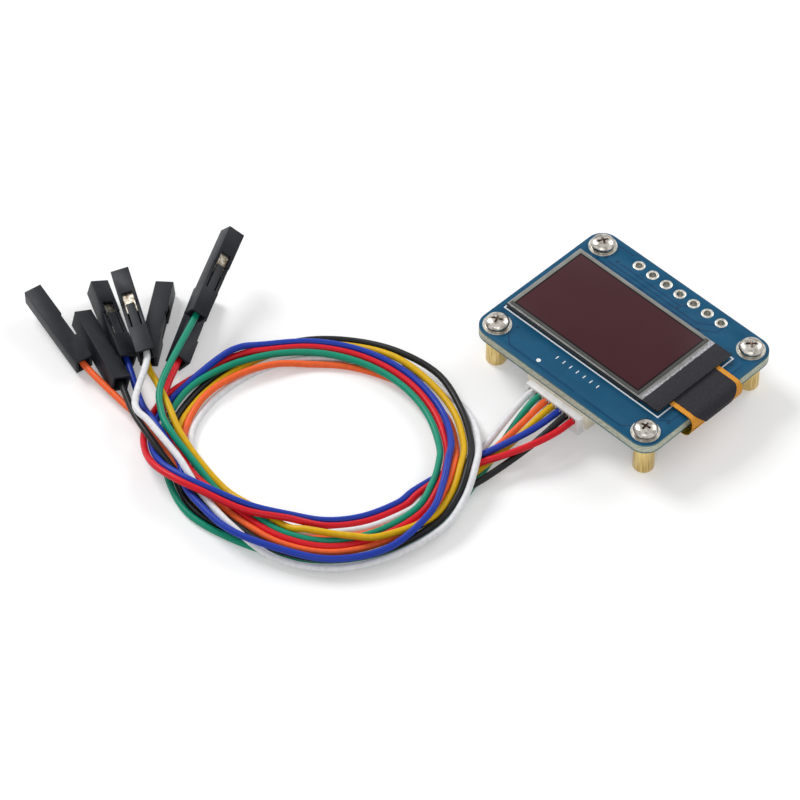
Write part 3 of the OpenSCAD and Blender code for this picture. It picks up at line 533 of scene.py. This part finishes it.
shell = Finish("housing_plastic", rgb("1e2025"), 0.42, Specular_IOR_Level=0.2)
cloud = shell.noise(1.1, 4)
shell.set(Base_Color=shell.mix(cloud.cut(0.5, 0.3), rgb("1e2027"), rgb("16181d")))
shell.set(Roughness=0.36 + cloud * 0.2).bump(shell.noise(14, 3), 0.01, 0.6)
shell.on(*housings.values())

# ---------------------------------------------------------------- board

BOARD_W, BOARD_T, BOARD_Z, TOP_Z = 26, 1.6, 5.2, 6.8
PAD_TOP = TOP_Z + 0.05
HOLE_X, HOLE_Y = 13.75, 10.5
HOLES = [(sx * HOLE_X, sy * HOLE_Y) for sx in (-1, 1) for sy in (-1, 1)]
HEADER_PITCH, HEADER_Y = 2.54, BOARD_W / 2 - 1.73
HEADER = [((i - 3) * HEADER_PITCH, HEADER_Y) for i in range(7)]
TRACK_HALF, VIA_R = 0.14, 0.28

board = eased("board", 0.06)
mask = Finish("solder_mask", rgb("1d5a80"), 0.35, Specular_IOR_Level=0.12)
tracks = [[(-9.5, 9.7), (1.6, 9.7), (2.5, 10.6)], [(-11.2, 8.9), (5.2, 8.9), (7.3, 10.4)],
          [(-12.2, 8.2), (6.4, 8.2), (8.4, 9.6), (8.4, 11)], [(-15.2, 7), (-15.2, -7)],
          [(14.9, 7.4), (14.9, -6.6), (13.6, -7.9)], [(-13.4, -8.9), (-10, -12), (2, -12)],
          [(4, -12.1), (10.6, -12.1), (12.2, -10.6)], [(-12.6, 12.1), (-9.6, 12.1)]]
vias = [(-12.6, 8.2), (-12, 9.2), (-10.2, 9.7), (1.5, 9.1), (6.2, 8.2), (12.4, 7.9), (13.8, 6.5),
        (-15.3, -7.4), (-15.3, 7.6), (14.9, -7.2), (12.4, -8.8), (-11.4, -8.9)]
paths = mask.line(tracks[0], TRACK_HALF)
for track in tracks[1:]:
    paths = paths.most(mask.line(track, TRACK_HALF))
drills = mask.disc(*vias[0], VIA_R)
for spot in vias[1:]:
    drills = drills.most(mask.disc(*spot, VIA_R))
face = abs(mask.facing()[2]).cut(0.6, 0.05)         # 1 on the cut edges, 0 on both faces
pour = mask.noise(0.35, 2).cut(0.5, 0.06)
blue = mask.mix(pour * 0.35, rgb("175273"), rgb("124767"))
blue = mask.mix(paths * 0.6, blue, rgb("0f3458"))
blue = mask.mix(drills * 0.6, blue, rgb("0d2c46"))
fibres = mask.noise(2.2, 4, 0.6, (1, 1, 5))
glassy = mask.mix(fibres.cut(0.47, 0.1), rgb("cfd3c2"), rgb("a9ad98"))
copper_edge = abs(mask.z - 6.0).cut(0.55, 0.04)      # the cut edge between its two dark mask rims
edge = mask.mix(copper_edge, rgb("5c7f84"), glassy)
mask.set(Base_Color=mask.mix(face, blue, edge))
mask.set(Roughness=0.3 + face * 0.45 + mask.noise(5) * 0.08)
mask.bump(paths * 0.6 + drills * -0.8 + mask.noise(1.3, 2) * 0.25 + face * fibres * 2, 0.03, 0.5)
mask.on(board)

tinned = Finish("tinned_copper", rgb("d9d7d0"), 0.32, 1)
dull = tinned.noise(3, 4)
tinned.set(Base_Color=tinned.mix(dull.cut(0.5, 0.2), rgb("d3d1ca"), rgb("a5a298")))
tinned.set(Roughness=0.26 + dull * 0.25).bump(tinned.noise(6, 2), 0.02, 0.5)

# A plated hole's ring, softly domed by its solder
ring = lathe([(0.5, -0.01), (0.5, 0.03), (0.56, 0.075), (0.7, 0.09), (0.8, 0.07), (0.875, 0.012),
              (0.875, -0.01), (0.5, -0.01)], "ring")
rings = [placed(ring, (x, y, TOP_Z), f"ring_{i}") for i, (x, y) in enumerate(HEADER)]
under = [placed(ring, (x, y, 0), f"under_{i}") for i, (x, y) in enumerate(HEADER)]
for piece in under:
    piece.data.transform(Matrix.Translation((0, 0, BOARD_Z * MM)) @ Matrix.Scale(-1, 4, (0, 0, 1)))
    piece.data.flip_normals()
barrel = lathe([(0.5, 0), (0.56, 0), (0.56, BOARD_T), (0.5, BOARD_T), (0.5, 0)], "barrel", 32)
barrels = [placed(barrel, (x, y, BOARD_Z), f"barrel_{i}") for i, (x, y) in enumerate(HEADER)]
header = mount(join(rings + under + barrels, "header_rings"), "header_rings", "header_pads")
tinned.on(header, NODE["mounting_pads"], NODE["connector_pins"], NODE["socket_pins"],
          NODE["socket_tabs"])
for spare in (ring, barrel):
    bpy.data.objects.remove(spare)

ink = Finish("white_print", rgb("e8e9ea"), 0.6)
ink.set(Base_Color=ink.mix(ink.noise(7).cut(0.36, 0.1), rgb("eeeff0"), rgb("c2cdd6")))
ink.set(Roughness=0.5 + ink.noise(9) * 0.2).on(NODE["frame_line"])

# Plain marks in front of the panel: one tick to each wire of the plug, with a dot at the first
TICK_HALF, TICK_FRONT, TICK_BACK, DOT_AT = 0.07, -9.45, -8.85, (-5.2, -11.3)
marks = [block((x - TICK_HALF, TICK_FRONT, TOP_Z - 0.01), (x + TICK_HALF, TICK_BACK, TOP_Z + 0.02))
         for x in ((i - 3) * WIRE_PITCH for i in range(7))]
dot = lathe([(0, -0.01), (0.32, -0.01), (0.32, 0.02), (0, 0.02)], "dot", 24)
marks.append(placed(dot, (*DOT_AT, TOP_Z), "first_wire_dot"))
bpy.data.objects.remove(dot)
ink.on(mount(join(marks, "wire_marks"), "wire_marks"))

# ---------------------------------------------------------------- standoffs and screws

post = lathe([(1.02, 0), (1.3, 0), (1.42, 0.05), (1.475, 0.17), (1.475, 5.03), (1.42, 5.15),
              (1.3, 5.2), (0.82, 5.2), (0.82, 3.55), (1.02, 3.55), (1.02, 0)], "post", 64)
posts = [placed(post, (x, y, 0), f"post_{i}") for i, (x, y) in enumerate(HOLES)]
bpy.data.objects.remove(post)
posts = mount(join(posts, "brass_posts"), "brass_posts", "standoffs")
brass = Finish("turned_brass", rgb("d2b470"), 0.3, 1)
drawn = brass.noise(1, 3, 0.5, (6, 6, 0.35))
brass.set(Base_Color=brass.mix(drawn.cut(0.5, 0.2), rgb("e6cf92"), rgb("bf9f5c")))
brass.set(Roughness=0.26 + drawn * 0.22).bump(drawn + brass.noise(8, 2) * 0.3, 0.03, 0.5)
brass.on(posts)


def cross_screw():
    """A pan head over a round spring ring, with a cross recess, on a grooved shank."""
    head = lathe([(0, 1.2), (0.7, 1.17), (1.2, 1.05), (1.5, 0.86), (1.66, 0.62), (1.7, 0.42),
                  (1.7, 0.34), (1.62, 0.3), (1.62, 0.27), (1.72, 0.24), (1.725, 0.08),
                  (1.66, 0.0), (0, 0.0)], "head", 64)
    arms = []
    for angle in (25, 115):
        bpy.ops.object.select_all(action="DESELECT")
        bpy.ops.mesh.primitive_cube_add(size=1, location=(0, 0, 1.05 * MM))
        arm = bpy.context.object
        arm.scale = (1.9 * MM, 0.42 * MM, 1.0 * MM)
        settle(arm)
        bpy.ops.object.mode_set(mode="EDIT")
        bpy.ops.mesh.select_all(action="DESELECT")
        bpy.ops.mesh.select_mode(type="VERT")
        edit = bmesh.from_edit_mesh(arm.data)
        for v in edit.verts:
            v.select = v.co.z < 1.0 * MM
        bmesh.update_edit_mesh(arm.data)
        bpy.ops.transform.resize(value=(0.55, 0.7, 1), center_override=(0, 0, 0))
        bpy.ops.object.mode_set(mode="OBJECT")
        arm.rotation_euler.z = math.radians(angle)
        settle(arm)
        arms.append(arm)
    for arm in arms:
        cut = head.modifiers.new("cross", "BOOLEAN")
        cut.operation, cut.object, cut.solver = "DIFFERENCE", arm, "EXACT"
        alone(head)
        bpy.ops.object.modifier_apply(modifier=cut.name)
        bpy.data.objects.remove(arm)
    ease = head.modifiers.new("worn_recess", "BEVEL")
    ease.width, ease.segments = 0.035 * MM, 2
    ease.limit_method, ease.angle_limit = "ANGLE", math.radians(50)
    alone(head)
    bpy.ops.object.modifier_apply(modifier=ease.name)
    bpy.ops.object.shade_smooth_by_angle(angle=math.radians(35))
    grooves = [(0, -3.0), (0.62, -3.0), (0.66, -2.95)]
    # Four grooves in the standoff, then four free ones above it: start, pitch, root and crest
    for low, pitch, root, crest in ((-2.9, 0.32, 0.66, 0.79), (-1.54, 0.34, 0.86, 0.99)):
        for k in range(4):
            z = low + pitch * k
            grooves += [(root, z), (crest, z + pitch / 2)]
    grooves += [(0.99, -0.1), (0.99, 0.02), (0, 0.02)]
    return join([head, lathe(grooves, "shank", 32)], "screw")


model = cross_screw()
screws = []
for i, (x, y) in enumerate(HOLES):
    screw = placed(model, (0, 0, PAD_TOP), f"screw_{i + 1}")
    screw.rotation_euler.z = math.radians(i * 37)
    screw.location = Vector((x, y, 0)) * MM
    settle(screw)
    screws.append(mount(screw, f"screw_{i + 1}", "screws"))
bpy.data.objects.remove(model)
nickel = Finish("nickel_plate", rgb("d8d5ce"), 0.16, 1)
plate = nickel.mix(nickel.noise(1.6).cut(0.5, 0.2), rgb("c9c5be"), rgb("8f8981"))
dx, dy = abs(abs(nickel.x) - HOLE_X), abs(abs(nickel.y) - HOLE_Y)
out = (dx * dx + dy * dy).math("SQRT")
# Painted shade: the cross recess and the seam under the head are darkened to brown
painted_recess_shade = nickel.z.cut(PAD_TOP + 1.02, 0.06) * out.cut(0.98, 0.05)      # painted shade down inside the cross
painted_seam_shadow = abs(nickel.z - (PAD_TOP + 0.29)).cut(0.05, 0.03)              # painted shadow between head and ring
nickel.set(Base_Color=nickel.mix((painted_recess_shade * 0.7).most(painted_seam_shadow * 0.9), plate, rgb("7d6a5a")))
nickel.set(Roughness=0.12 + nickel.noise(5, 4) * 0.18).bump(nickel.noise(3, 3), 0.03, 0.5)
nickel.on(*screws)

# ---------------------------------------------------------------- panel

FACE_Z = 7.7                                        # the panel's upper face
foam = Finish("foam_tape", rgb("26262a"), 0.95)
foam.set(Base_Color=foam.mix(foam.noise(9).cut(0.5, 0.1), rgb("2b2b2f"), rgb("1c1c20")))
foam.set(Roughness=0.85 + foam.noise(4) * 0.1).bump(foam.noise(12, 2), 0.04, 0.8)
foam.on(NODE["foam_tape"])

rear = eased("panel_cap", 0.03)
front = eased("panel_glass", 0.04)
glass = Finish("panel_glass", rgb("9a9b98"), 0.06, 0, IOR=1.5, Transmission_Weight=0.2,
               Specular_IOR_Level=0.3)
glass.set(Roughness=0.04 + glass.noise(1.2) * 0.05)
clear = glass.mix(glass.noise(0.7).cut(0.5, 0.3), rgb("a6a7a4"), rgb("8b8c88"))
# Painted shade: the panel's upright sides are coloured near-black, as if they lay in shadow
side = abs(glass.facing()[2]).cut(0.5, 0.15)
glass.set(Base_Color=glass.mix(side, clear, rgb("131517")))
glass.bump(glass.noise(0.8, 1), 0.01, 0.15)
glass.on(front)
smoked = Finish("smoked_glass", rgb("222426"), 0.12, 0, IOR=1.5, Specular_IOR_Level=0.25)
smoked.set(Base_Color=smoked.mix(smoked.noise(1.1).cut(0.5, 0.3), rgb("26282a"), rgb("16181a")))
smoked.set(Roughness=0.1 + smoked.noise(2) * 0.1).on(rear, NODE["driver_chip"])

film = eased("polarizer", 0.04)
screen = Finish("polarizer_film", rgb("4a2b2e"), 0.3, Specular_IOR_Level=0.06)
FILM_MID_X, INNER_HALF, LIT_HALF = -2.8, (11.52, 6.62), (11.28, 6.38)
across, along = abs(screen.x - FILM_MID_X), abs(screen.y)
inner = across.cut(INNER_HALF[0], 0.03).least(along.cut(INNER_HALF[1], 0.03))
lit = across.cut(LIT_HALF[0], 0.1).least(along.cut(LIT_HALF[1], 0.1))
depth = screen.noise(0.12, 2)
brown = screen.mix(depth.cut(0.5, 0.3), rgb("4a2b2f"), rgb("46282c"))
rows = (screen.y * 62).sine() * 0.5 + 0.5
brown = screen.mix(rows * 0.1, brown, rgb("3a2024"))
border = screen.mix(screen.noise(0.5).cut(0.5, 0.3), rgb("8f8f8b"), rgb("7b7b74"))
# The border is darker beside the glue line and along the front
shaded = screen.x.cut(8.6, 0.05).math("MULTIPLY_ADD", -1, 1).most(screen.y.cut(-6.5, 0.1))
border = screen.mix(shaded * 0.7, border, rgb("2f2e30"))
screen.set(Base_Color=screen.mix(inner, border, screen.mix(lit, rgb("1f191c"), brown)))
screen.set(Roughness=0.2 + screen.noise(1.5) * 0.06).bump(screen.noise(0.9, 1), 0.01, 0.2)
screen.on(film, NODE["emitting_layer"])

# The silver glue line, with a ragged edge on both sides
bpy.ops.object.select_all(action="DESELECT")
bpy.ops.mesh.primitive_grid_add(x_subdivisions=6, y_subdivisions=70, size=1,
                                location=(0, 0, 0))
glue = bpy.context.object
GLUE_FRONT, GLUE_RUN, GLUE_LOW, GLUE_HIGH = -7.05, 14.25, 9.62, 9.98
for v in glue.data.vertices:
    u, w = v.co.x + 0.5, v.co.y + 0.5
    y = GLUE_FRONT + w * GLUE_RUN
    jag = 0.09 * math.sin(y * 5.1) + 0.06 * math.sin(y * 13.7 + 1) + 0.04 * math.sin(y * 31)
    low = GLUE_LOW + (0.16 if -3.3 < y < 3.1 else 0) + 0.4 * jag - (0.3 if y > 6.5 else 0)
    high = GLUE_HIGH + jag + (0.18 if abs(y) > 3.6 else 0) - max(0, (-6.3 - y) * 0.5)
    swell = 0.05 * math.sin(math.pi * u) * (0.8 + 0.4 * math.sin(y * 7))
    v.co = Vector((low + (high - low) * u, y, FACE_Z + 0.012 + swell)) * MM
thick = glue.modifiers.new("thickness", "SOLIDIFY")
thick.thickness, thick.offset = 0.012 * MM, -1
alone(glue)
bpy.ops.object.modifier_apply(modifier=thick.name)
bpy.ops.object.shade_smooth_by_angle(angle=math.radians(50))
mount(glue, "silver_glue_line", "adhesive_strip")
silver = Finish("silver_glue", rgb("a3a1a6"), 0.42, 0.35)
silver.set(Base_Color=silver.mix(silver.noise(3.5, 4).cut(0.5, 0.12), rgb("b1afb4"), rgb("8a888e")))
silver.set(Roughness=0.38 + silver.noise(6) * 0.2).bump(silver.noise(5, 3), 0.02, 0.6)
silver.on(glue)

# ---------------------------------------------------------------- tapes and ribbon

tape = eased("ledge_tape", 0.02)
wrap = eased("ribbon_tape", 0.0)
cloth = Finish("black_tape", rgb("29282c"), 0.6, Specular_IOR_Level=0.12)
weave = cloth.noise(5, 4)
cloth.set(Base_Color=cloth.mix(weave.cut(0.5, 0.2), rgb("333237"), rgb("28272b")))
rub = cloth.noise(0.9, 3)
cloth.set(Roughness=0.5 + rub * 0.22).bump(weave + rub * 0.8, 0.03, 0.6)
cloth.on(tape, wrap)

ribbon = eased("ribbon", 0.0)
amber_film = Finish("ribbon_film", rgb("d9922c"), 0.3, Specular_IOR_Level=0.2)
facing_up = amber_film.facing()[2]
lanes = ((amber_film.y + amber_film.z * 0.55 + amber_film.x * 0.35) * 19).sine()
cross = ((amber_film.y - amber_film.z * 0.6 - amber_film.x * 0.45) * 15).sine()
copper = lanes.cut(-0.1, 0.7)
amber = amber_film.mix(copper, rgb("e8a136"), rgb("c47f26"))
# Copper hatch on the lower leg, made dark olive: partly the film's own hatch, partly painted shade
# from the board above
hatch_and_shade = amber_film.mix(cross.cut(0.0, 0.3), rgb("b08a1d"), rgb("4a4a12"))
inward = (facing_up > 0.2).least(amber_film.z.cut(5.9, 0.2))    # the lower leg's upper face, under the board: its copper hatch is real, its dark olive tone is painted shade
amber_film.set(Base_Color=amber_film.mix(inward, amber, hatch_and_shade))
amber_film.set(Metallic=copper * 0.2, Roughness=0.3 + amber_film.noise(2) * 0.16)
amber_film.bump(lanes, 0.02, 0.5)
amber_film.on(ribbon)

# ---------------------------------------------------------------- socket, plug and crimps

cream = Finish("cream_moulding", rgb("e9e2cf"), 0.5, Specular_IOR_Level=0.45)
haze = cream.noise(0.8, 4)
cream.set(Base_Color=cream.mix(haze.cut(0.5, 0.3), rgb("efe9d8"), rgb("ddd3bb")))
cream.set(Roughness=0.42 + haze * 0.2).bump(cream.noise(11, 2), 0.012, 0.6)
socket = eased("cable_socket", 0.08)
ribbon_gate = eased("ribbon_connector", 0.06)
cream.on(socket, ribbon_gate)

white = Finish("plug_moulding", rgb("f0eff0"), 0.38, Specular_IOR_Level=0.5)
milk = white.noise(0.9, 4)
white.set(Base_Color=white.mix(milk.cut(0.5, 0.3), rgb("f3f2f3"), rgb("e3e1e2")))
white.set(Roughness=0.32 + milk * 0.16).bump(white.noise(10, 2), 0.01, 0.5)
plug = eased("cable_plug", 0.08)
white.on(plug)

# Crimp wings over each wire where it enters the plug
wings = []
for i in range(7):
    x = (i - 3) * WIRE_PITCH
    for side in (-1, 1):
        wing = block((-0.06, PLUG_FRONT - 0.34, 0.3), (0.06, PLUG_FRONT + 0.5, 0.66), 0.02)
        wing.data.transform(Matrix.Rotation(side * 0.5, 4, "Y"))
        wing.data.transform(Matrix.Translation(Vector((x + side * 0.08, 0, ENTRY_Z)) * MM))
        wings.append(wing)
wings = mount(join(wings, "crimp_wings"), "crimp_wings")
crimp.on(wings, NODE["plug_contacts"])

# ---------------------------------------------------------------- parts under the board

dark = Finish("moulded_package", rgb("1b1b1e"), 0.5)
dark.set(Base_Color=dark.mix(dark.noise(2).cut(0.5, 0.3), rgb("222226"), rgb("151518")))
dark.set(Roughness=0.45 + dark.noise(6) * 0.2).bump(dark.noise(16, 2), 0.012, 0.7)
packages = [eased(n, 0.05) for n in ("regulator", "boost_converter", "level_shifter", "diode")]
latch = eased("connector_latch", 0.04)
dark.on(*packages, latch)


def chip_finish(name, body, mottle):
    """The matt finish of a small part, mottled between two colours."""
    coat = Finish(name, rgb(body), 0.45)
    coat.set(Base_Color=coat.mix(coat.noise(2.5).cut(0.5, 0.2), rgb(body), rgb(mottle)))
    return coat.set(Roughness=0.35 + coat.noise(4) * 0.25).bump(coat.noise(8, 2), 0.015, 0.6)


chip_finish("ceramic_body", "9a7d58", "866a47").on(eased("capacitors", 0.05))
chip_finish("resistor_body", "202024", "2a2a30").on(eased("resistors", 0.04))
chip_finish("ferrite_body", "3c3c42", "2c2c31").on(eased("inductor", 0.08))
